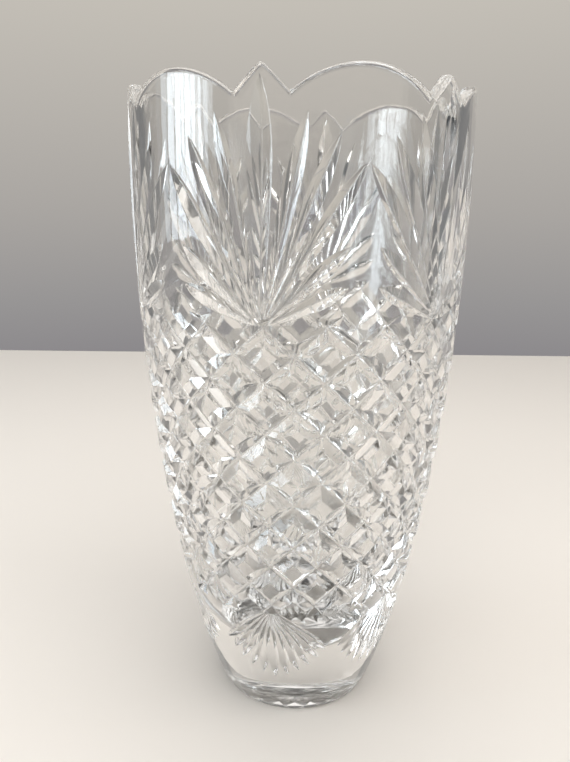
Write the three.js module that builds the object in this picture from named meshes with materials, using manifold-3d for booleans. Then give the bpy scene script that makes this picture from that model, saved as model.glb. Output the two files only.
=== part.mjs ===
// A cut crystal vase, blown and cut from one piece of glass. Millimetres, +Z up. The origin is the centre
// of the foot's underside, and the middle leaf of one fan faces -Y. An angle of 0 is that leaf's meridian,
// and angles grow towards +X.
import * as THREE from "three";
import { mergeVertices } from "three/addons/utils/BufferGeometryUtils.js";
import Module from "manifold-3d";

const wasm = await Module();
wasm.setup();

const radians = THREE.MathUtils.degToRad;
const degrees = THREE.MathUtils.radToDeg;

// Blank: the outer wall and the cavity are each one Bezier curve of radius against height.
const HEIGHT = 250;
const FOOT_RADIUS = 31.2;
const RIM_RADIUS = 66;
const OUTER_WALL = [[FOOT_RADIUS, 0], [33.4, 0], [69.4, 86], [RIM_RADIUS, HEIGHT]];
const FLOOR_HEIGHT = 26;
const RIM_WALL = 5.5;
const MOUTH_RADIUS = RIM_RADIUS - RIM_WALL;
const INNER_WALL = [[0, FLOOR_HEIGHT], [36, FLOOR_HEIGHT], [58.5, 100], [MOUTH_RADIUS, HEIGHT]];
const OUTER_STEPS = 14;
const INNER_STEPS = 12;

// Pattern: six fans round the vase, with a lattice of diamonds below them.
const FANS = 6;
const FAN_PITCH = 360 / FANS;
const COLUMN = 10; // degrees from one column of groove crossings to the next
const HALF_V = radians(50); // half the angle of the cutting wheel's edge
const WHEEL_CLEARANCE = 3; // how far a cut's tool stands out of the glass
const TOOL_MARGIN = 10; // how far the two ring-shaped tools reach past the glass

// Lattice: crossings lie on LEVELS + 1 levels, a little closer together towards the foot.
const LEVELS = 12;
const LATTICE_TOP = 168;
const FIRST_LEVEL_STEP = 9.93;
const LEVEL_TIGHTENING = 0.0568;
const GROOVE_HALF_WIDTH = 3.9;
const END_GROOVE_HALF_WIDTH = 3.1;
const TOP_SINK = 0.35; // the diamonds' flat tops lie this far under the blank's wall
const TOOL_LIFT = 2; // the lattice's tool leaves the glass this far above the wall
const RUN_OUT_LEVELS = 0.45; // and past each end it gets there over this share of a level

// Leaves of an upper fan, from its middle to its side: tip angle, tip height, greatest half width.
const UPPER_LEAVES = [
  [0, 246, 4.4],
  [13, 235.5, 3.1],
  [22, 229, 3.1],
  [29.6, 220.5, 3.1],
  [25.5, 194.5, 2.9],
  [25.5, 181.5, 2.8],
];

// Rays of a lower fan: evenly turned about its apex, the side rays shorter than the middle one.
const SIDE_RAYS = 5;
const RAY_TURN = radians(9.4);
const MIDDLE_RAY_LENGTH = 36;
const RAY_SHORTENING = 1.2; // each ray is shorter than the one before by this
const RAY_HALF_WIDTH = 2.2;

// A leaf is widest this share of the way from its root to its tip.
const LEAF_WIDEST = 0.667;
const ROOT_TAPER = 1.35;
const TIP_TAPER = 2.5;
const KEEL_LIFT = 0.3; // at both its ends a cut's half width has fallen this far below nothing

// Rim: a wide round scallop between each two fans, and a gable over each fan's middle leaf.
const GABLE_HALF_ANGLE = 8;
const GABLE_HEIGHT = 249.4;
const NOTCH_HEIGHT = 241;
const LIP_BEVEL = 1.4;

// Foot: a flat ring round a shallow dish, and a star cut in the dish.
const RING_INNER_RADIUS = 24;
const DISH_DEPTH = 1.5;
const STAR_RAYS = 16;
const STAR_RADIUS = 21;
const STAR_HALF_WIDTH = 2.4;
const STAR_HUB_HALF_WIDTH = 0.8; // of a ray at the centre, where all rays meet
const STAR_WIDEST = 0.6;

function bezier(points) {
  return new THREE.CubicBezierCurve(...points.map(([r, z]) => new THREE.Vector2(r, z)));
}

const outerCurve = bezier(OUTER_WALL);
const innerCurve = bezier(INNER_WALL);

// Radius of the outer wall at a height. The curve climbs all the way, so its parameter is found by halving.
function outerRadius(z) {
  let low = 0;
  let high = 1;
  for (let i = 0; i < 40; i++) {
    const middle = (low + high) / 2;
    if (outerCurve.getPoint(middle).y < z) low = middle;
    else high = middle;
  }
  return outerCurve.getPoint(low).x;
}

function latticeHeight(level) {
  return LATTICE_TOP - FIRST_LEVEL_STEP * level + LEVEL_TIGHTENING * level * level;
}

// The point of the outer wall at an angle in degrees and a height.
function wallPoint(angle, z) {
  const r = outerRadius(z);
  return new THREE.Vector3(r * Math.sin(radians(angle)), -r * Math.cos(radians(angle)), z);
}

// The wall's outward normal.
function wallNormal(angle, z) {
  const step = 0.5;
  const slope = (outerRadius(z + step) - outerRadius(z - step)) / (2 * step);
  return new THREE.Vector3(Math.sin(radians(angle)), -Math.cos(radians(angle)), -slope).normalize();
}

function liftedPoint(angle, z, lift) {
  return wallPoint(angle, z).addScaledVector(wallNormal(angle, z), lift);
}

function geometryOf(vertices, triangles) {
  const geometry = new THREE.BufferGeometry();
  geometry.setAttribute("position", new THREE.Float32BufferAttribute(vertices, 3));
  geometry.setIndex(triangles);
  return geometry;
}

// A closed solid through rings of points, all with the same number of points and turning the same way.
// An open run of rings gets an end face at each end, and a closed one joins its last ring to its first.
function loft(rings, closed = false) {
  const count = rings[0].length;
  const triangles = [];
  const spans = closed ? rings.length : rings.length - 1;
  for (let i = 0; i < spans; i++) {
    const here = i * count;
    const next = ((i + 1) % rings.length) * count;
    for (let j = 0; j < count; j++) {
      const k = (j + 1) % count;
      triangles.push(here + j, next + j, next + k, here + j, next + k, here + k);
    }
  }
  if (!closed) {
    const last = (rings.length - 1) * count;
    for (let j = 1; j < count - 1; j++) {
      triangles.push(0, j, j + 1, last, last + j + 1, last + j);
    }
  }
  return geometryOf(rings.flat().flatMap((p) => p.toArray()), triangles);
}

function solidOf(geometry) {
  const bare = geometry.clone();
  bare.deleteAttribute("normal");
  bare.deleteAttribute("uv");
  const merged = mergeVertices(bare, 1e-4);
  const index = merged.index.array;
  const triVerts = [];
  for (let i = 0; i < index.length; i += 3) {
    const [a, b, c] = index.slice(i, i + 3);
    if (a !== b && b !== c && c !== a) triVerts.push(a, b, c);
  }
  const vertProperties = new Float32Array(merged.attributes.position.array);
  const closed = new wasm.Mesh({ numProp: 3, vertProperties, triVerts: new Uint32Array(triVerts) });
  return new wasm.Manifold(closed);
}

// The V-shaped tool for one cut: its keel runs under the path, as deep as the cut's half width asks for.
// The path is a list of { angle, z, halfWidth }, and a negative half width lifts the keel clear of the glass.
function vCut(path) {
  const points = path.map(({ angle, z }) => wallPoint(angle, z));
  const rings = path.map(({ angle, z, halfWidth }, i) => {
    const before = points[Math.max(i - 1, 0)];
    const after = points[Math.min(i + 1, points.length - 1)];
    const normal = wallNormal(angle, z);
    const across = new THREE.Vector3().crossVectors(after.clone().sub(before), normal).normalize();
    const reach = halfWidth + WHEEL_CLEARANCE * Math.tan(HALF_V);
    const top = points[i].clone().addScaledVector(normal, WHEEL_CLEARANCE);
    return [
      points[i].clone().addScaledVector(normal, -halfWidth / Math.tan(HALF_V)),
      top.clone().addScaledVector(across, reach),
      top.clone().addScaledVector(across, -reach),
    ];
  });
  return solidOf(loft(rings));
}

// Half width of the lattice's grooves at a level: they are cut a little shallower at both ends.
function grooveHalfWidth(level) {
  const endwise = Math.min(level, LEVELS - level, 2) / 2;
  return THREE.MathUtils.lerp(END_GROOVE_HALF_WIDTH, GROOVE_HALF_WIDTH, endwise);
}

// Where two grooves cross, at the bottom of both.
function crossing(column, level) {
  const depth = grooveHalfWidth(level) / Math.tan(HALF_V);
  return liftedPoint(column * COLUMN, latticeHeight(level), -depth);
}

// The four corners of a diamond's flat top, or of the same diamond sliced at some lift above the wall.
function diamondCorners(column, level, lift) {
  const z = latticeHeight(level);
  const across = outerRadius(z) * radians(COLUMN);
  const down = (latticeHeight(level - 1) - latticeHeight(level + 1)) / 2;
  const toGroove = (across * down) / Math.hypot(across, down);
  const share = 1 - (grooveHalfWidth(level) + lift * Math.tan(HALF_V)) / toGroove;
  const corner = (columns, levels) =>
    liftedPoint((column + share * columns) * COLUMN, latticeHeight(level + share * levels), lift);
  return [corner(0, -1), corner(1, 0), corner(0, 1), corner(-1, 0)];
}

// The tool that cuts the whole lattice at once: a ring whose inner side is the diamonds' flanks and tops.
// Along its two zigzag ends it climbs out of the glass, and each pair of grooves runs out to a point.
function latticeTool() {
  const faces = [];
  const middle = latticeHeight(LEVELS / 2);
  const outside = (column) => liftedPoint(column * COLUMN, middle, TOOL_MARGIN);
  const runOut = (column, level) => liftedPoint(column * COLUMN, latticeHeight(level), TOOL_LIFT);
  for (let column = 0; column < 360 / COLUMN; column++) {
    for (let level = column % 2 === 0 ? 1 : 0; level <= LEVELS; level += 2) {
      const left = crossing(column - 1, level);
      const right = crossing(column + 1, level);
      const atEnd = level === 0 || level === LEVELS;
      const [top, farRight, bottom, farLeft] = diamondCorners(column, level, atEnd ? TOOL_LIFT : -TOP_SINK);
      if (level > 0) {
        const above = crossing(column, level - 1);
        faces.push([above, right, farRight, top], [left, above, top, farLeft]);
      }
      if (level < LEVELS) {
        const below = crossing(column, level + 1);
        faces.push([right, below, bottom, farRight], [below, left, farLeft, bottom]);
      }
      if (!atEnd) {
        faces.push([top, farRight, bottom, farLeft]);
        continue;
      }
      const endLevel = level === 0 ? -RUN_OUT_LEVELS : LEVELS + RUN_OUT_LEVELS;
      const ends = [runOut(column - 1, endLevel), runOut(column + 1, endLevel)];
      const edge = [ends[0], farLeft, level === 0 ? bottom : top, farRight, ends[1]];
      const skirt = [
        [left, ends[0], farLeft],
        [right, farRight, ends[1]],
      ];
      for (let i = 0; i < 4; i++) {
        const from = column - 1 + i / 2;
        skirt.push([edge[i], outside(from), outside(from + 0.5), edge[i + 1]]);
      }
      faces.push(...(level === 0 ? skirt : skirt.map((face) => face.reverse())));
    }
  }
  const triangles = faces.flatMap(([a, b, c, d]) => (d ? [a, b, c, a, c, d] : [a, b, c]));
  const vertices = triangles.flatMap((p) => p.toArray());
  return solidOf(geometryOf(vertices, [...triangles.keys()]));
}

// Share of its greatest width that a leaf has at a share of its length.
function leafWidth(share) {
  if (share < LEAF_WIDEST) return 1 - ((LEAF_WIDEST - share) / LEAF_WIDEST) ** ROOT_TAPER;
  return 1 - ((share - LEAF_WIDEST) / (1 - LEAF_WIDEST)) ** TIP_TAPER;
}

// A pointed leaf from a root at a fan's apex to its tip.
function leaf(root, tip, halfWidth, shares) {
  return vCut(
    shares.map((share) => ({
      angle: THREE.MathUtils.lerp(root.angle, tip.angle, share),
      z: THREE.MathUtils.lerp(root.z, tip.z, share),
      halfWidth: halfWidth * leafWidth(share) - (share === 0 || share === 1 ? KEEL_LIFT : 0),
    })),
  );
}

function upperFan(middleAngle) {
  const shares = [0, 0.5, 0.82, 1];
  const root = { angle: middleAngle, z: LATTICE_TOP };
  return UPPER_LEAVES.flatMap(([tipAngle, tipHeight, halfWidth]) => {
    const sides = tipAngle === 0 ? [1] : [-1, 1];
    return sides.map((side) =>
      leaf(root, { angle: middleAngle + side * tipAngle, z: tipHeight }, halfWidth, shares),
    );
  });
}

function lowerFan(middleAngle) {
  const shares = [0, LEAF_WIDEST, 1];
  const root = { angle: middleAngle, z: latticeHeight(LEVELS) };
  const rays = [];
  for (let i = -SIDE_RAYS; i <= SIDE_RAYS; i++) {
    const length = MIDDLE_RAY_LENGTH - RAY_SHORTENING * Math.abs(i);
    const z = root.z - length * Math.cos(i * RAY_TURN);
    const meanRadius = outerRadius((root.z + z) / 2);
    const turn = degrees((length * Math.sin(i * RAY_TURN)) / meanRadius);
    rays.push(leaf(root, { angle: middleAngle + turn, z }, RAY_HALF_WIDTH, shares));
  }
  return rays;
}

// Height of the rim at an angle measured from a fan's middle, for 0 to FAN_PITCH degrees.
function rimHeight(angle) {
  const fromGable = Math.min(angle, FAN_PITCH - angle);
  if (fromGable <= GABLE_HALF_ANGLE) {
    return THREE.MathUtils.lerp(GABLE_HEIGHT, NOTCH_HEIGHT, fromGable / GABLE_HALF_ANGLE);
  }
  const halfChord = RIM_RADIUS * radians(FAN_PITCH / 2 - GABLE_HALF_ANGLE);
  const rise = HEIGHT - NOTCH_HEIGHT;
  const arcRadius = (halfChord ** 2 + rise ** 2) / (2 * rise);
  const along = RIM_RADIUS * radians(FAN_PITCH / 2 - fromGable);
  return HEIGHT - arcRadius + Math.sqrt(arcRadius ** 2 - along ** 2);
}

// The tool that cuts the rim: a ring whose underside follows the scallops and bevels both edges of the lip.
function rimTool() {
  const scallopSteps = 10;
  const scallopStep = (FAN_PITCH - 2 * GABLE_HALF_ANGLE) / scallopSteps;
  const rings = [];
  for (let fan = 0; fan < FANS; fan++) {
    const angles = [0];
    for (let i = 0; i <= scallopSteps; i++) angles.push(GABLE_HALF_ANGLE + i * scallopStep);
    for (const angle of angles) {
      const z = rimHeight(angle);
      const outer = outerRadius(z);
      const inner = outer - RIM_WALL;
      const above = HEIGHT + TOOL_MARGIN;
      const below = z - LIP_BEVEL - TOOL_MARGIN;
      const outline = [
        [inner - TOOL_MARGIN, above],
        [inner - TOOL_MARGIN, below],
        [inner + LIP_BEVEL, z],
        [outer - LIP_BEVEL, z],
        [outer + TOOL_MARGIN, below],
        [outer + TOOL_MARGIN, above],
      ];
      const turn = radians(angle + fan * FAN_PITCH);
      rings.push(outline.map(([r, h]) => new THREE.Vector3(r * Math.sin(turn), -r * Math.cos(turn), h)));
    }
  }
  return solidOf(loft(rings, true));
}

// One ray of the star under the foot, a V cut upwards into the dish.
function starRay(turn) {
  const along = new THREE.Vector3(Math.sin(turn), -Math.cos(turn), 0);
  const across = new THREE.Vector3(-along.y, along.x, 0);
  const surface = (r) => DISH_DEPTH * (1 - r / RING_INNER_RADIUS);
  const section = (r, halfWidth) => {
    const centre = along.clone().multiplyScalar(r);
    const reach = halfWidth + WHEEL_CLEARANCE * Math.tan(HALF_V);
    const low = surface(r) - WHEEL_CLEARANCE;
    return [
      centre.clone().setZ(surface(r) + halfWidth / Math.tan(HALF_V)),
      centre.clone().setZ(low).addScaledVector(across, reach),
      centre.clone().setZ(low).addScaledVector(across, -reach),
    ];
  };
  const sections = [
    section(0, STAR_HUB_HALF_WIDTH),
    section(STAR_WIDEST * STAR_RADIUS, STAR_HALF_WIDTH),
    section(STAR_RADIUS, -KEEL_LIFT),
  ];
  return solidOf(loft(sections));
}

// The uncut blank, with a flat rim that the rim's tool lowers everywhere but at the tops of the scallops.
function blank() {
  const profile = [
    new THREE.Vector2(0, DISH_DEPTH),
    new THREE.Vector2(RING_INNER_RADIUS, 0),
    ...outerCurve.getPoints(OUTER_STEPS),
    ...innerCurve.getPoints(INNER_STEPS).reverse(),
  ];
  return solidOf(new THREE.LatheGeometry(profile, 360 / COLUMN).rotateX(Math.PI / 2));
}

function vaseGeometry() {
  const tools = [rimTool(), latticeTool()];
  for (let i = 0; i < FANS; i++) tools.push(...upperFan(i * FAN_PITCH), ...lowerFan(i * FAN_PITCH));
  for (let i = 0; i < STAR_RAYS; i++) tools.push(starRay((i * 2 * Math.PI) / STAR_RAYS));
  const cut = tools.reduce((solid, tool) => solid.subtract(tool), blank());
  const mesh = cut.getMesh();
  return geometryOf(Array.from(mesh.vertProperties), Array.from(mesh.triVerts));
}

const crystal = new THREE.MeshStandardMaterial({
  color: 0xe9ecea,
  roughness: 0.03,
  metalness: 0,
  transparent: true,
  opacity: 0.35,
});

const body = new THREE.Mesh(vaseGeometry(), crystal);
body.name = "vase_body";

const vase = new THREE.Group();
vase.add(body);

export default vase;
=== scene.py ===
"""Looks of the cut crystal vase: one piece of clear glass with its cuts at full fineness, on a pale table."""
import bpy
import math
import numpy as np
from mathutils import Matrix, Vector


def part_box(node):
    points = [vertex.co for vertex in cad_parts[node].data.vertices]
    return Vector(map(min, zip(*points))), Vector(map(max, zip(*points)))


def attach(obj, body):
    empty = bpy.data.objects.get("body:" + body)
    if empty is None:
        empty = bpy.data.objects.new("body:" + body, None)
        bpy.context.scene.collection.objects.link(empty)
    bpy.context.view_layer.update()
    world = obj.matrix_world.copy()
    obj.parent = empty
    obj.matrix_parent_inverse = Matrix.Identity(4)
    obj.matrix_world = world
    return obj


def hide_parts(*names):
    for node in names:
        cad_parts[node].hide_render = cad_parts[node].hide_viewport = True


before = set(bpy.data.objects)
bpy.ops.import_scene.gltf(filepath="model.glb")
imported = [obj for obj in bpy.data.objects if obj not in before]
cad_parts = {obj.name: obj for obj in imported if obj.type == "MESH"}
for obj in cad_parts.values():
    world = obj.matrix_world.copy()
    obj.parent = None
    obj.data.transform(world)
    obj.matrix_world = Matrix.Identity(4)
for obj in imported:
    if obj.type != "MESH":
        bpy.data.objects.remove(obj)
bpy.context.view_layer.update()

# All shapes below are in millimetres and degrees, with the foot's centre at the origin and a fan's middle
# leaf facing -Y. An angle of 0 is that leaf's meridian, and angles grow towards +X.
HEIGHT = 250.0
FOOT_RADIUS = 31.2
RIM_RADIUS = 66.0
OUTER_WALL = [(FOOT_RADIUS, 0), (33.4, 0), (69.4, 86), (RIM_RADIUS, HEIGHT)]
FLOOR_HEIGHT = 26.0
RIM_WALL = 5.5
MOUTH_RADIUS = RIM_RADIUS - RIM_WALL
INNER_WALL = [(0, FLOOR_HEIGHT), (36, FLOOR_HEIGHT), (58.5, 100), (MOUTH_RADIUS, HEIGHT)]

# The pattern goes round six times. Two families of V grooves leave the lattice's flat-topped diamonds.
FANS = 6
FAN_PITCH = 360 / FANS
COLUMN = 10.0  # from one column of groove crossings to the next
HALF_V = math.radians(50)  # half the angle of the cutting wheel's edge
LEVELS = 12
LATTICE_TOP = 168.0
FIRST_LEVEL_STEP = 9.93
LEVEL_TIGHTENING = 0.0568
GROOVE_HALF_WIDTH = 3.9
END_GROOVE_HALF_WIDTH = 3.1
RUN_OUT_LEVELS = 0.45  # how far a groove runs on past each end of the lattice
GROOVE_CLEARANCE = 1.5  # how far a groove's tool stands out of the glass
GROOVE_STATIONS = 4  # per level

# Polish has rounded each cut: its keel, and the shoulders where its sides meet the wall.
KEEL_RADIUS = 0.6
KEEL_STEPS = 2
SHOULDER_RADIUS = 0.9
SHOULDER_STEPS = 3
SHOULDER_LIFT = 0.02
LAST_SHOULDER_TURN = math.radians(4)
FULL_ROUNDING = 1.5  # cuts with a smaller half width than this are rounded less
LEAST_HALF_WIDTH = 0.1

# Leaves of an upper fan: the tip's angle from the middle leaf, the tip's height, and the half width.
UPPER_LEAVES = [
    (0, 246, 4.4),
    (13, 235.5, 3.1),
    (22, 229, 3.1),
    (29.6, 220.5, 3.1),
    (25.5, 194.5, 2.9),
    (25.5, 181.5, 2.8),
]

# Rays of a lower fan, and the outline that its rays share with the leaves.
SIDE_RAYS = 5
RAY_TURN = 9.4
MIDDLE_RAY_LENGTH = 36.0
RAY_SHORTENING = 1.2
RAY_HALF_WIDTH = 2.2
LEAF_WIDEST = 0.667
ROOT_TAPER = 1.35
TIP_TAPER = 2.5
LEAF_STATIONS = 22
LEAF_CLEARANCE = 3.0
KEEL_LIFT = 0.3  # at both its ends a cut's half width has fallen this far below nothing

# Rim: a wide round scallop between each two fans, and a gable over each fan's middle leaf.
GABLE_HALF_ANGLE = 8.0
GABLE_HEIGHT = 249.4
GABLE_ROUNDING = 0.7
NOTCH_HEIGHT = 241.0
LIP_RADIUS = 1.7

# Foot: a flat ring round a shallow dish, and a star of cuts in the dish.
RING_INNER_RADIUS = 24.0
DISH_DEPTH = 1.5
STAR_LINES = 8
STAR_RADIUS = 21.0
STAR_HALF_WIDTH = 2.4
STAR_HUB_HALF_WIDTH = 0.8
STAR_WIDEST = 0.6

# Fineness of the uncut vase. Its rings are level up to STEADY_HEIGHT, and follow the rim above that.
STEADY_HEIGHT = 204.0
GABLE_STEP = 1.0
SCALLOP_POINTS = 31
DISH_HUB_RADIUS = 2
DISH_RINGS = 9
CURVE_SHARES = 400
HEEL_SHARES = slice(0, 40, 3)
WALL_RINGS = 66
RIM_RINGS = 16
LIP_RINGS = 6
CAVITY_RINGS = 50
CAVITY_LAST_SHARE = 0.02

# Where the blank's own surface is left, it shades with the wall's exact normals.
CREASE = 20
SLOPE_STEP = 0.5
WALL_TOLERANCE = 0.08
WALL_TURN = math.radians(7)
OUTER_FROM = 3
INNER_FROM = 30
WALL_TO = 249

low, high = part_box("vase_body")
MM = (high.z - low.z) / HEIGHT


def bezier(points, count=4001):
    p = np.array(points, float)
    t = np.linspace(0, 1, count)[:, None]
    return (1 - t) ** 3 * p[0] + 3 * (1 - t) ** 2 * t * p[1] + 3 * (1 - t) * t**2 * p[2] + t**3 * p[3]


OUTER = bezier(OUTER_WALL)
INNER = bezier(INNER_WALL)


def outer_radius(z):
    return np.interp(z, OUTER[:, 1], OUTER[:, 0])


def inner_radius(z):
    return np.interp(z, INNER[:, 1], INNER[:, 0])


def lattice_height(level):
    return LATTICE_TOP - FIRST_LEVEL_STEP * level + LEVEL_TIGHTENING * level * level


def around(angle, r, z):
    """Points at angles in degrees, radii and heights."""
    a = np.radians(angle)
    return np.stack(np.broadcast_arrays(r * np.sin(a), -r * np.cos(a), z), -1)


def unit(v):
    return v / np.linalg.norm(v, axis=-1, keepdims=True)


def wall_normal(angle, z, radius=outer_radius):
    slope = (radius(z + SLOPE_STEP) - radius(z - SLOPE_STEP)) / (2 * SLOPE_STEP)
    return unit(around(angle, 1.0, -slope))


def loft(sections):
    """Vertices and faces of a closed solid through sections, an array of section, point and coordinate."""
    count, size = sections.shape[:2]
    faces = []
    for i in range(count - 1):
        for j in range(size):
            k = (j + 1) % size
            faces.append((i * size + j, (i + 1) * size + j, (i + 1) * size + k, i * size + k))
    last = (count - 1) * size
    faces.append(tuple(range(size)))
    faces.append(tuple(last + j for j in reversed(range(size))))
    return sections.reshape(-1, 3), faces


def v_section(half_width, clearance):
    """Sections of a cutting wheel's V, one for each half width, as distances across the cut and heights
    above the wall. Polishing has rounded its keel and its two shoulders."""
    slope = math.pi / 2 - HALF_V
    lift = np.clip(LEAST_HALF_WIDTH - half_width, 0, None) / math.tan(HALF_V)
    half_width = np.clip(half_width, LEAST_HALF_WIDTH, None)
    share = np.clip(half_width / FULL_ROUNDING, 0, 1)
    keel = KEEL_RADIUS * share
    shoulder = SHOULDER_RADIUS * share
    depth = half_width / math.tan(HALF_V)
    points = []
    for turn in np.linspace(0, slope, KEEL_STEPS + 1):
        rise = keel / math.cos(slope) - depth
        points.append((keel * math.sin(turn), rise - keel * math.cos(turn)))
    tangent = half_width + shoulder * math.tan(slope / 2)
    for turn in np.linspace(slope, LAST_SHOULDER_TURN, SHOULDER_STEPS + 1):
        points.append((tangent - shoulder * math.sin(turn), shoulder * (math.cos(turn) - 1) + SHOULDER_LIFT))
    points.append((tangent + SHOULDER_LIFT, np.full_like(half_width, clearance)))
    half = np.array([[np.broadcast_to(u, half_width.shape), h + lift] for u, h in points])
    mirrored = half[:0:-1] * np.array([-1, 1])[None, :, None]
    return np.concatenate([half, mirrored]).transpose(2, 0, 1)


def v_cut(angle, z, half_width, clearance):
    """The tool of one cut along a path on the wall, its keel as deep as its half width asks for."""
    path = around(angle, outer_radius(z), z)
    normal = wall_normal(angle, z)
    across = unit(np.cross(np.gradient(path, axis=0), normal))
    section = v_section(half_width, clearance)
    sides = across[:, None] * section[:, :, :1]
    return loft(path[:, None] + sides + normal[:, None] * section[:, :, 1:])


def groove(first_column, direction):
    ends = RUN_OUT_LEVELS
    level = np.concatenate([[-ends], np.linspace(0, LEVELS, LEVELS * GROOVE_STATIONS + 1), [LEVELS + ends]])
    endwise = np.clip(np.minimum(level, LEVELS - level) / 2, 0, 1)
    half = END_GROOVE_HALF_WIDTH + (GROOVE_HALF_WIDTH - END_GROOVE_HALF_WIDTH) * endwise
    half[0] = half[-1] = -KEEL_LIFT
    angle = (first_column + direction * level) * COLUMN
    return v_cut(angle, lattice_height(level), half, GROOVE_CLEARANCE)


def leaf_width(share):
    root = 1 - (np.clip(LEAF_WIDEST - share, 0, None) / LEAF_WIDEST) ** ROOT_TAPER
    tip = 1 - (np.clip(share - LEAF_WIDEST, 0, None) / (1 - LEAF_WIDEST)) ** TIP_TAPER
    return np.where(share < LEAF_WIDEST, root, tip)


def leaf(root, tip, half_width):
    share = 0.5 - 0.5 * np.cos(np.linspace(0, np.pi, LEAF_STATIONS))
    half = half_width * leaf_width(share)
    half[[0, -1]] = -KEEL_LIFT
    angle = root[0] + (tip[0] - root[0]) * share
    z = root[1] + (tip[1] - root[1]) * share
    return v_cut(angle, z, half, LEAF_CLEARANCE)


def upper_leaves(fan):
    middle = fan * FAN_PITCH
    root = (middle, LATTICE_TOP)
    leaves = []
    for angle, z, half_width in UPPER_LEAVES:
        for side in (1,) if angle == 0 else (-1, 1):
            leaves.append(leaf(root, (middle + side * angle, z), half_width))
    return leaves


def lower_rays(fan):
    middle = fan * FAN_PITCH
    root = (middle, lattice_height(LEVELS))
    rays = []
    for i in range(-SIDE_RAYS, SIDE_RAYS + 1):
        turn = math.radians(i * RAY_TURN)
        length = MIDDLE_RAY_LENGTH - RAY_SHORTENING * abs(i)
        z = root[1] - length * math.cos(turn)
        radius = outer_radius((root[1] + z) / 2)
        rays.append(leaf(root, (middle + math.degrees(length * math.sin(turn) / radius), z), RAY_HALF_WIDTH))
    return rays


def star_line(i):
    """Two opposite rays of the star under the foot, as one V cut upwards into the dish."""
    turn = i * 180 / STAR_LINES
    r = STAR_RADIUS * np.array([-1, -STAR_WIDEST, 0, STAR_WIDEST, 1])
    half = np.array([-KEEL_LIFT, STAR_HALF_WIDTH, STAR_HUB_HALF_WIDTH, STAR_HALF_WIDTH, -KEEL_LIFT])
    surface = DISH_DEPTH * (1 - np.abs(r) / RING_INNER_RADIUS)
    reach = (half + LEAF_CLEARANCE * math.tan(HALF_V))[:, None]
    across = around(turn + 90, 1.0, 0.0)
    low_line = around(turn, r, surface - LEAF_CLEARANCE)
    keel = around(turn, r, surface + half / math.tan(HALF_V))
    return loft(np.stack([keel, low_line - across * reach, low_line + across * reach], 1))


def rim_height(angle):
    from_gable = np.abs((angle + FAN_PITCH / 2) % FAN_PITCH - FAN_PITCH / 2)
    rounded = np.sqrt(from_gable**2 + GABLE_ROUNDING**2) - GABLE_ROUNDING
    gable = GABLE_HEIGHT + (NOTCH_HEIGHT - GABLE_HEIGHT) * rounded / (
        math.sqrt(GABLE_HALF_ANGLE**2 + GABLE_ROUNDING**2) - GABLE_ROUNDING
    )
    half_chord = RIM_RADIUS * math.radians(FAN_PITCH / 2 - GABLE_HALF_ANGLE)
    rise = HEIGHT - NOTCH_HEIGHT
    arc_radius = (half_chord**2 + rise**2) / (2 * rise)
    along = RIM_RADIUS * np.radians(FAN_PITCH / 2 - from_gable)
    along = np.clip(along, 0, half_chord)
    scallop = HEIGHT - arc_radius + np.sqrt(arc_radius**2 - along**2)
    return np.where(from_gable <= GABLE_HALF_ANGLE, gable, scallop)


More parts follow.
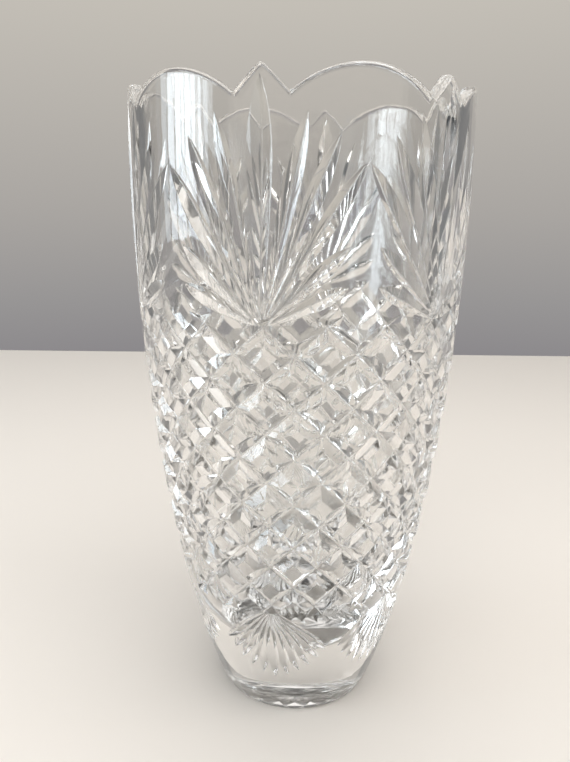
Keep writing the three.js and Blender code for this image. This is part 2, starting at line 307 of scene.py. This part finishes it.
def blank():
    """The uncut vase with its scalloped, rounded lip: rings of points from the dish up, over it and down."""
    sector = np.concatenate([
        np.arange(-GABLE_HALF_ANGLE, GABLE_HALF_ANGLE, GABLE_STEP),
        np.linspace(GABLE_HALF_ANGLE, FAN_PITCH - GABLE_HALF_ANGLE, SCALLOP_POINTS)[:-1],
    ])
    angle = np.concatenate([sector + i * FAN_PITCH for i in range(FANS)])
    rim = rim_height(angle)
    rings = []
    for r in np.linspace(DISH_HUB_RADIUS, RING_INNER_RADIUS, DISH_RINGS):
        rings.append(around(angle, r, DISH_DEPTH * (1 - r / RING_INNER_RADIUS)))
    rings.append(around(angle, 0.5 * (RING_INNER_RADIUS + FOOT_RADIUS), 0.0))
    outer_shares, inner_shares = np.linspace(0, 1, len(OUTER)), np.linspace(0, 1, len(INNER))
    heel = np.interp(np.linspace(0, 1, CURVE_SHARES)[HEEL_SHARES], outer_shares, OUTER[:, 1])
    for z in heel:
        rings.append(around(angle, outer_radius(z) if z > 0 else FOOT_RADIUS, z))
    for z in np.linspace(heel[-1], STEADY_HEIGHT, WALL_RINGS)[1:]:
        rings.append(around(angle, outer_radius(z), z))
    shoulder = rim - LIP_RADIUS
    for share in np.linspace(0, 1, RIM_RINGS)[1:]:
        z = STEADY_HEIGHT + (shoulder - STEADY_HEIGHT) * share
        rings.append(around(angle, outer_radius(z), z))
    outer, inner = outer_radius(shoulder), inner_radius(shoulder)
    for turn in np.linspace(0, np.pi / 2, LIP_RINGS)[1:]:
        inset, rise = LIP_RADIUS * (1 - math.cos(turn)), LIP_RADIUS * math.sin(turn)
        rings.append(around(angle, outer - inset, shoulder + rise))
    for turn in np.linspace(np.pi / 2, 0, LIP_RINGS):
        inset, rise = LIP_RADIUS * (1 - math.cos(turn)), LIP_RADIUS * math.sin(turn)
        rings.append(around(angle, inner + inset, shoulder + rise))
    for share in np.linspace(1, 0, RIM_RINGS)[1:]:
        z = STEADY_HEIGHT + (shoulder - STEADY_HEIGHT) * share
        rings.append(around(angle, inner_radius(z), z))
    steady_share = np.interp(STEADY_HEIGHT, INNER[:, 1], inner_shares)
    for share in np.linspace(steady_share, CAVITY_LAST_SHARE, CAVITY_RINGS)[1:]:
        r = np.interp(share, inner_shares, INNER[:, 0])
        z = np.interp(share, inner_shares, INNER[:, 1])
        rings.append(around(angle, r, z))
    rings = np.array(rings)
    count, size = rings.shape[:2]
    vertices = np.concatenate([rings.reshape(-1, 3), [(0, 0, DISH_DEPTH), (0, 0, FLOOR_HEIGHT)]])
    faces = []
    for i in range(count - 1):
        for j in range(size):
            k = (j + 1) % size
            faces.append((i * size + j, i * size + k, (i + 1) * size + k, (i + 1) * size + j))
    under, floor = count * size, count * size + 1
    last = (count - 1) * size
    for j in range(size):
        k = (j + 1) % size
        faces.append((under, k, j))
        faces.append((floor, last + j, last + k))
    return vertices, faces


def mesh_of(name, parts):
    """One mesh of several lists of vertices and faces, in metres."""
    vertices, faces, start = [], [], 0
    for v, f in parts:
        vertices.append(v)
        faces.extend(tuple(start + i for i in face) for face in f)
        start += len(v)
    mesh = bpy.data.meshes.new(name)
    mesh.from_pydata((np.concatenate(vertices) * MM).tolist(), [], faces)
    mesh.update()
    return mesh


def object_of(name, mesh):
    o = bpy.data.objects.new(name, mesh)
    bpy.context.scene.collection.objects.link(o)
    return o


def boolean(base, tools, operation):
    """The mesh of base after joining each tool to it, or cutting each away."""
    for tool in tools:
        m = base.modifiers.new("cut", "BOOLEAN")
        m.solver = "MANIFOLD"
        m.operation = operation
        m.object = tool
    evaluated = base.evaluated_get(bpy.context.evaluated_depsgraph_get())
    mesh = bpy.data.meshes.new_from_object(evaluated)
    for o in [base, *tools]:
        bpy.data.objects.remove(o)
    return mesh


def vase_mesh():
    """The blank with every cut. Cuts that never touch each other share one tool."""
    columns = range(0, int(360 / COLUMN), 2)
    groups = [[groove(i, direction) for i in columns] for direction in (1, -1)]
    upper = [upper_leaves(i) for i in range(FANS)]
    lower = [lower_rays(i) for i in range(FANS)]
    groups += [list(same) for same in zip(*upper)]
    groups += [list(same) for same in zip(*lower)]
    groups += [[star_line(i)] for i in range(STAR_LINES)]
    tools = [object_of("tool", mesh_of("tool", group)) for group in groups]
    joined = object_of("tool", boolean(tools[0], tools[1:], "UNION"))
    body = object_of("blank", mesh_of("blank", [blank()]))
    return boolean(body, [joined], "DIFFERENCE")


def smooth(mesh, limit):
    """Smooth shading with creases, and the walls' exact normals wherever the blank's surface is left."""
    mesh.shade_smooth()
    mesh.set_sharp_from_angle(angle=math.radians(limit))
    n_v, n_l, n_p = len(mesh.vertices), len(mesh.loops), len(mesh.polygons)
    co = np.empty(n_v * 3, np.float32)
    mesh.vertices.foreach_get("co", co)
    co = co.reshape(-1, 3) / MM
    vert = np.empty(n_l, np.int32)
    mesh.loops.foreach_get("vertex_index", vert)
    normal = np.empty(n_p * 3, np.float32)
    mesh.polygons.foreach_get("normal", normal)
    normal = normal.reshape(-1, 3)
    total = np.empty(n_p, np.int32)
    mesh.polygons.foreach_get("loop_total", total)
    face = np.repeat(np.arange(n_p), total)
    p = co[vert].astype(float)
    r = np.hypot(p[:, 0], p[:, 1])
    angle = np.degrees(np.arctan2(p[:, 0], -p[:, 1]))
    custom = np.zeros((n_l, 3))
    for radius, sign, lowest in ((outer_radius, 1, OUTER_FROM), (inner_radius, -1, INNER_FROM)):
        wall = sign * wall_normal(angle, p[:, 2], radius)
        on = (np.abs(r - radius(p[:, 2])) < WALL_TOLERANCE) & (p[:, 2] > lowest) & (p[:, 2] < WALL_TO)
        along = (normal[face] * wall).sum(1) > math.cos(WALL_TURN)
        custom[on & along] = wall[on & along]
    mesh.normals_split_custom_set(custom.tolist())


mesh = vase_mesh()
smooth(mesh, CREASE)
vase = object_of("vase", mesh)


CRYSTAL_IOR = 1.54
TINT_SCALE = 18  # noise scales are per metre
TINT_LOW = (0.920, 0.922, 0.915, 1)
TINT_HIGH = (0.950, 0.942, 0.930, 1)
POLISH_SCALE = 60
SMOOTHEST = 0.02
ROUGHEST = 0.055
WAVE_SCALE = 110
WAVE_DISTORTION = 0.6
WAVE_STRENGTH = 0.5
WAVE_DEPTH = 0.0001
NOISE_LOW = 0.3
NOISE_HIGH = 0.7


def crystal():
    """Clear crystal glass: a faint tint, polish that varies from place to place, and slow surface waves."""
    material = bpy.data.materials.new("crystal")
    material.use_nodes = True
    nodes, links = material.node_tree.nodes, material.node_tree.links
    shader = nodes["Principled BSDF"]
    shader.inputs["IOR"].default_value = CRYSTAL_IOR
    shader.inputs["Transmission Weight"].default_value = 1.0
    place = nodes.new("ShaderNodeTexCoord").outputs["Object"]

    def noise(scale, detail, distortion=0.0):
        n = nodes.new("ShaderNodeTexNoise")
        n.inputs["Scale"].default_value = scale
        n.inputs["Detail"].default_value = detail
        n.inputs["Distortion"].default_value = distortion
        links.new(place, n.inputs["Vector"])
        return n.outputs["Fac"]

    tint = nodes.new("ShaderNodeValToRGB")
    tint.color_ramp.elements[0].position = NOISE_LOW
    tint.color_ramp.elements[0].color = TINT_LOW
    tint.color_ramp.elements[1].position = NOISE_HIGH
    tint.color_ramp.elements[1].color = TINT_HIGH
    links.new(noise(TINT_SCALE, 2), tint.inputs["Fac"])
    links.new(tint.outputs["Color"], shader.inputs["Base Color"])
    polish = nodes.new("ShaderNodeMapRange")
    polish.inputs["From Min"].default_value = NOISE_LOW
    polish.inputs["From Max"].default_value = NOISE_HIGH
    polish.inputs["To Min"].default_value = SMOOTHEST
    polish.inputs["To Max"].default_value = ROUGHEST
    links.new(noise(POLISH_SCALE, 3), polish.inputs["Value"])
    links.new(polish.outputs["Result"], shader.inputs["Roughness"])
    waves = nodes.new("ShaderNodeBump")
    waves.inputs["Strength"].default_value = WAVE_STRENGTH
    waves.inputs["Distance"].default_value = WAVE_DEPTH
    links.new(noise(WAVE_SCALE, 1, WAVE_DISTORTION), waves.inputs["Height"])
    links.new(waves.outputs["Normal"], shader.inputs["Normal"])
    return material


mesh.materials.clear()
mesh.materials.append(crystal())
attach(vase, "root")
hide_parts("vase_body")

# Stage, in metres and degrees: a pale table whose far edge lies across the camera's view, in a grey room.
CAMERA_AZIMUTH = 11.137
CAMERA_DISTANCE = 0.29495
CAMERA_HEIGHT = 0.2057
CAMERA_PITCH = 13.406
CAMERA_YAW = -1.075
CAMERA_ROLL = 0.416
LENS = 45.23
CAMERA_NEAR = 0.01
SENSOR_WIDTH = 36.0
TABLE_EDGE = 0.747
TABLE_DROP = 0.0003  # below the foot, so that the two flat faces don't coincide
TABLE_COLOUR = (0.88, 0.84, 0.79, 1)
TABLE_ROUGHNESS = 0.6

turn = Matrix.Rotation(math.radians(CAMERA_AZIMUTH), 3, "Z")


def place_on_stage(name, corners, faces, material):
    m = bpy.data.meshes.new(name)
    m.from_pydata(corners, [], faces)
    m.materials.append(material)
    o = object_of(name, m)
    return o


table_material = bpy.data.materials.new("table")
table_material.use_nodes = True
table_shader = table_material.node_tree.nodes["Principled BSDF"]
table_shader.inputs["Base Color"].default_value = TABLE_COLOUR
table_shader.inputs["Roughness"].default_value = TABLE_ROUGHNESS
square = [(-1, -1), (1, -1), (1, 1), (-1, 1)]
table_corners = [turn @ Vector((x * TABLE_EDGE, y * TABLE_EDGE, -TABLE_DROP)) for x, y in square]
place_on_stage("table", table_corners, [(0, 1, 2, 3)], table_material)

world = bpy.data.worlds.new("room")
bpy.context.scene.world = world
world.use_nodes = True
nt = world.node_tree
nt.nodes.clear()
out = nt.nodes.new("ShaderNodeOutputWorld")
bg = nt.nodes.new("ShaderNodeBackground")
nt.links.new(bg.outputs[0], out.inputs[0])
coord = nt.nodes.new("ShaderNodeTexCoord")
sep = nt.nodes.new("ShaderNodeSeparateXYZ")
nt.links.new(coord.outputs["Generated"], sep.inputs[0])
ramp = nt.nodes.new("ShaderNodeMapRange")
ramp.inputs["From Min"].default_value = -1
nt.links.new(sep.outputs[2], ramp.inputs["Value"])
# Colour of the room by the height of a direction, from -1 straight down to 1 straight up.
ROOM = [
    (-0.40, (0.24, 0.24, 0.25)),
    (-0.19, (0.26, 0.25, 0.26)),
    (-0.12, (0.31, 0.30, 0.30)),
    (0.0, (0.40, 0.38, 0.36)),
    (0.25, (0.55, 0.52, 0.47)),
    (0.36, (0.26, 0.25, 0.24)),
    (0.42, (0.06, 0.06, 0.06)),
    (0.88, (0.06, 0.06, 0.06)),
    (0.93, (1.0, 0.99, 0.97)),
]
colours = nt.nodes.new("ShaderNodeValToRGB")
elements = colours.color_ramp.elements
while len(elements) > 1:
    elements.remove(elements[-1])
for i, (z, c) in enumerate(ROOM):
    e = elements[0] if i == 0 else elements.new((z + 1) / 2)
    if i == 0:
        e.position = (z + 1) / 2
    e.color = (*c, 1)
nt.links.new(ramp.outputs[0], colours.inputs[0])
nt.links.new(colours.outputs[0], bg.inputs["Color"])


PATCH_DISTANCE = 1.6
PATCH_CENTRE = 0.12
PATCH_POINTS = 9


def patch(name, azimuths, elevations, radiance, colour=(1, 1, 1), matt_only=False):
    """A glowing or dark patch of a sphere round the vase, hidden from the camera. Azimuths start from the
    camera's side and grow towards its right. A matt_only patch lights the table only, not the glass."""
    n = PATCH_POINTS
    steps = np.linspace(0, 1, n)
    a = np.radians(azimuths[0] + (azimuths[1] - azimuths[0]) * steps + CAMERA_AZIMUTH)[:, None]
    e = np.radians(elevations[0] + (elevations[1] - elevations[0]) * steps)[None]
    p = PATCH_DISTANCE * np.stack([np.sin(a) * np.cos(e), -np.cos(a) * np.cos(e), np.sin(e) + 0 * a], -1)
    p = p.reshape(-1, 3) + [0, 0, PATCH_CENTRE]
    starts = [i * n + j for i in range(n - 1) for j in range(n - 1)]
    quads = [(k, k + 1, k + n + 1, k + n) for k in starts]
    material = bpy.data.materials.new(name)
    material.use_nodes = True
    t = material.node_tree
    t.nodes.clear()
    glow = t.nodes.new("ShaderNodeEmission")
    glow.inputs["Color"].default_value = (*colour, 1)
    glow.inputs["Strength"].default_value = radiance
    t.links.new(glow.outputs[0], t.nodes.new("ShaderNodeOutputMaterial").inputs[0])
    o = place_on_stage(name, p.tolist(), quads, material)
    o.visible_camera = False
    if matt_only:
        o.visible_glossy = o.visible_transmission = False


COOL = (0.84, 0.93, 1.0)
WARM = (1.0, 0.93, 0.86)
WINDOW_ELEVATIONS = (-2, 19)
WINDOW_STRIPS = [  # from azimuth, to azimuth, radiance
    (-101, -97, 0.7),
    (-96, -91, 3.5),
    (-90, -84, 7),
    (-83, -76, 8),
    (-75, -67, 9),
    (-65, -58, 5),
]
for i, (start, end, radiance) in enumerate(WINDOW_STRIPS):
    patch(f"window_{i}", (start, end), WINDOW_ELEVATIONS, radiance, COOL)
patch("front", (-44, 67), (6, 20), 1.0, WARM)
patch("front_right", (25, 67), (-7, 6), 0.9, COOL)
patch("key", (-42, 85), (40, 65), 3.0, (1, 0.985, 0.96))
patch("fill", (-180, 180), (62, 89), 2.5, (1, 0.965, 0.925), matt_only=True)
patch("back_light", (125, 235), (40, 62), 1.0, (1, 0.97, 0.94))
patch("flag_front", (-56, 25), (-8, 6), 0.26)
patch("flag_low", (-150, 150), (-30, -8), 0.16)
patch("flag_left", (-140, -109), (-8, 21), 0.2)
patch("flag_right", (110, 140), (-8, 21), 0.2)

camera_data = bpy.data.cameras.new("camera")
camera_data.sensor_fit = "HORIZONTAL"
camera_data.sensor_width = SENSOR_WIDTH
camera_data.lens = LENS
camera_data.clip_start = CAMERA_NEAR
camera = bpy.data.objects.new("camera", camera_data)
bpy.context.scene.collection.objects.link(camera)
yaw, pitch, roll = (math.radians(v) for v in (CAMERA_YAW, CAMERA_PITCH, CAMERA_ROLL))
forward = Vector((math.sin(yaw) * math.cos(pitch), math.cos(yaw) * math.cos(pitch), -math.sin(pitch)))
right = Vector((math.cos(yaw), -math.sin(yaw), 0))
up = right.cross(forward)
right, up = right * math.cos(roll) + up * math.sin(roll), up * math.cos(roll) - right * math.sin(roll)
facing = Matrix((right, up, -forward)).transposed()
standing = turn @ Vector((0, -CAMERA_DISTANCE, CAMERA_HEIGHT))
camera.matrix_world = Matrix.Translation(standing) @ (turn @ facing).to_4x4()
bpy.context.scene.camera = camera

scene = bpy.context.scene
scene.view_settings.view_transform = "Standard"
scene.cycles.max_bounces = 32
scene.cycles.transmission_bounces = 32
scene.cycles.glossy_bounces = 16
scene.cycles.diffuse_bounces = 4
scene.cycles.transparent_max_bounces = 16
